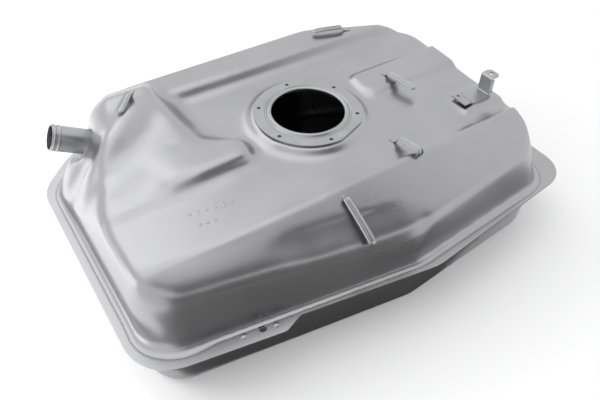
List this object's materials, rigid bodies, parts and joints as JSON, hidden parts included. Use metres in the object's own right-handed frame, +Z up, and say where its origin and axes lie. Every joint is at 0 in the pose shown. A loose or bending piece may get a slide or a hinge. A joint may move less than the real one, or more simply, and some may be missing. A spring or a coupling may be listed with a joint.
{
  "type": "car fuel tank",
  "caption": "Pressed steel car fuel tank: drafted upper and lower shells joined at a flat seam flange, with a round pump opening, an angled filler neck, line clips and a bracket.",
  "frame": {"origin": "centre of the pump opening, in the top face of the pump ring", "axes": "+X along the tank away from the filler neck, +Y across it to the straight back wall, +Z up out of the pump opening"},
  "size_m": [0.658, 0.4587, 0.2118],
  "materials": {
    "coated_steel": "satin silver coating on pressed steel",
    "plated_steel": "plated steel, satin"
  },
  "bodies": {
    "root": {"upper_shell": "coated_steel", "lower_shell": "coated_steel", "pump_ring": "plated_steel", "filler_neck": "plated_steel", "bracket": "plated_steel", "pipe_clip_hump": "plated_steel", "pipe_clip_back": "plated_steel", "pipe_clip_rib": "plated_steel", "pipe_clip_shoulder": "plated_steel", "pipe_clip_hook": "plated_steel"}
  },
  "joints": []
}
